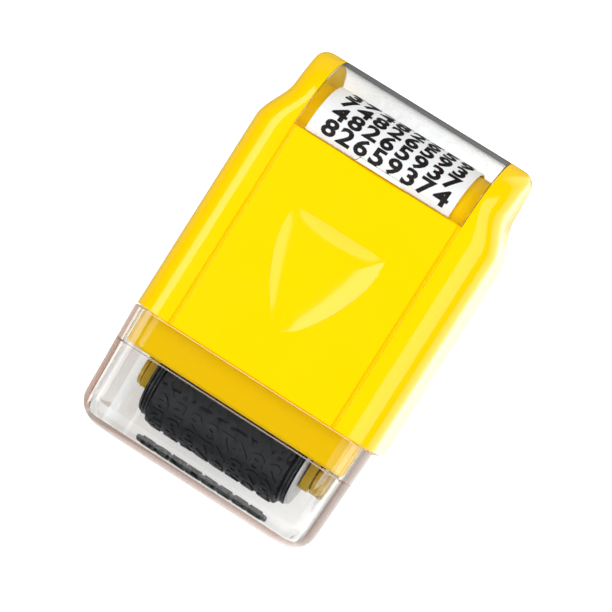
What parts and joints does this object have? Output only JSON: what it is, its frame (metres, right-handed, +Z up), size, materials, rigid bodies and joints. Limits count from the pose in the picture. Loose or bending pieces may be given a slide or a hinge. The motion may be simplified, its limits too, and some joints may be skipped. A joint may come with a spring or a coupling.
{
  "type": "privacy roller stamp",
  "caption": "Pocket roller stamp that prints a masking pattern: two-piece plastic housing, clear push-on cap over a rubber roller, inner ink roller, and a clear end window over a pattern label.",
  "frame": {"origin": "under the middle of the part, on the plane of the rear face that it lies on", "axes": "+X across the stamp, +Y along it towards the window end with the cap at -Y, +Z up through the front face"},
  "size_m": [0.0458, 0.0728, 0.025],
  "materials": {
    "housing": "glossy yellow ABS, moulded",
    "clear_cap": "clear polystyrene, polished",
    "clear_window": "clear polystyrene, polished",
    "label": "printed paper",
    "die_rubber": "moulded rubber, matt",
    "dark_plastic": "black acetal",
    "grey_plastic": "light grey acetal",
    "ink_foam": "ink-soaked open-cell foam",
    "steel": "drawn wire"
  },
  "bodies": {
    "housing": {"front_shell": "housing", "rear_shell": "housing", "roller_frame": "housing", "pattern_label": "label", "axle_bush_left": "grey_plastic", "axle_bush_right": "grey_plastic", "ink_bearing_left": "grey_plastic", "ink_bearing_right": "grey_plastic", "ink_spring_left": "steel", "ink_spring_right": "steel"},
    "cap": {"cap": "clear_cap"},
    "window": {"label_window": "clear_window"},
    "print_roller": {"print_die": "die_rubber", "drum_core": "dark_plastic", "end_ring_left": "dark_plastic", "end_ring_right": "dark_plastic", "hub_cap_left": "dark_plastic", "hub_cap_right": "grey_plastic", "drum_axle": "steel"},
    "ink_roller": {"ink_sleeve": "ink_foam", "ink_core": "grey_plastic", "ink_axle": "steel"}
  },
  "joints": [
    {"name": "cap_slide", "type": "slide", "parent": "housing", "child": "cap", "axis": [0, -1, 0], "range_m": [0, 0.025]},
    {"name": "window_slide", "type": "slide", "parent": "housing", "child": "window", "axis": [0, 1, 0], "range_m": [0, 0.02]},
    {"name": "print_roller_spin", "type": "hinge", "parent": "housing", "child": "print_roller", "pos_m": [0, -0.0236, 0.0125], "axis": [1, 0, 0], "continuous": true},
    {"name": "ink_roller_spin", "type": "hinge", "parent": "housing", "child": "ink_roller", "pos_m": [0, -0.0093, 0.0125], "axis": [1, 0, 0], "continuous": true}
  ],
  "couplings": [
    {"joint": "ink_roller_spin", "follows": "print_roller_spin", "ratio": -1.3333}
  ]
}
